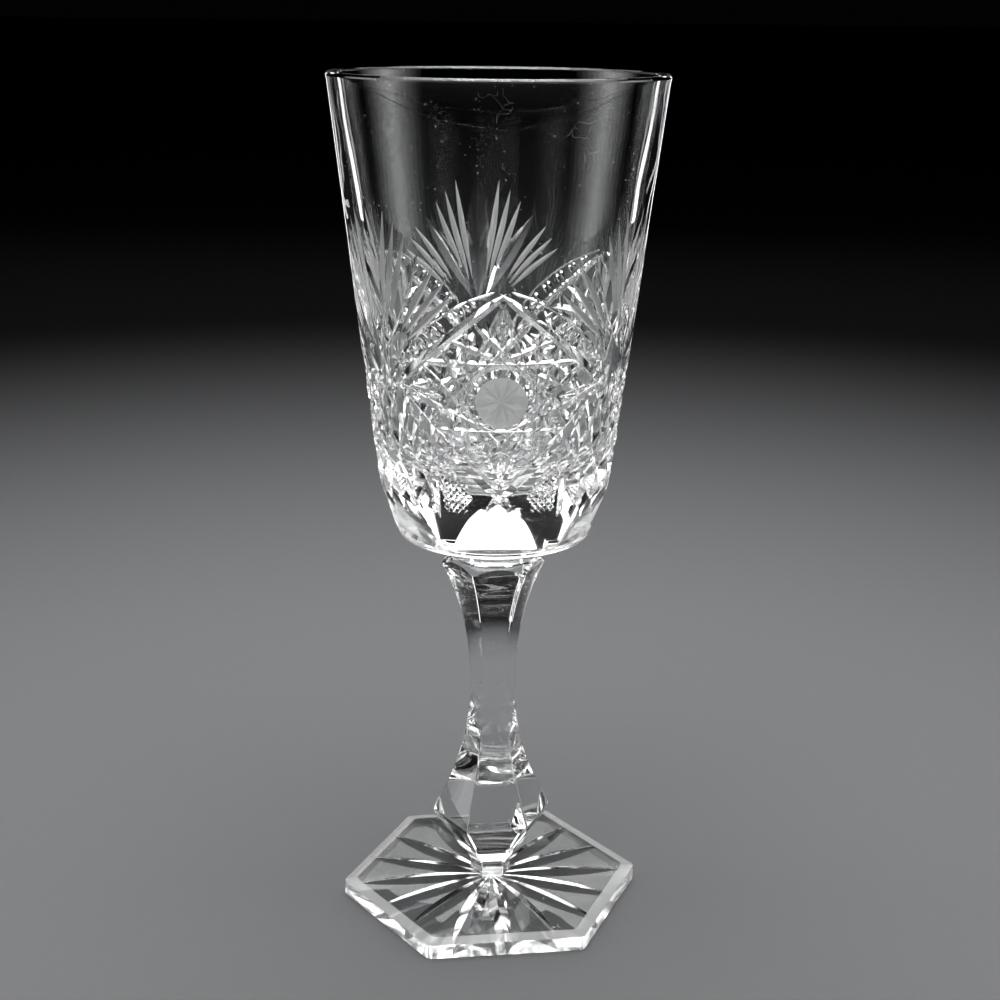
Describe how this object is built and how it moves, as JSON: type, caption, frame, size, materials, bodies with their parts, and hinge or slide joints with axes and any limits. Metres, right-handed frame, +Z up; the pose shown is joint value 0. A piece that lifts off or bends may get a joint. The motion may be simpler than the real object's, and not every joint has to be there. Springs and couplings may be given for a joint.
{
  "type": "wine glass",
  "caption": "Stemmed cut crystal wine glass: a tapering bowl cut with hobstars, fans and petals on a hexagonal stem and a star-cut hexagonal foot.",
  "frame": {"origin": "centre of the foot's underside, where the glass stands on the table", "axes": "+Z up along the stem to the rim; flats of the foot and stem face +Y and -Y, corners point along +X and -X"},
  "size_m": [0.07, 0.07, 0.1848],
  "materials": {
    "crystal_bowl": "clear polished lead crystal, wheel-cut mitres and a frosted star centre",
    "crystal_stem": "clear polished lead crystal with six hand-cut flats",
    "crystal_foot": "clear polished lead crystal, star cut in the underside"
  },
  "bodies": {
    "root": {"bowl": "crystal_bowl", "stem": "crystal_stem", "foot": "crystal_foot"}
  },
  "joints": []
}
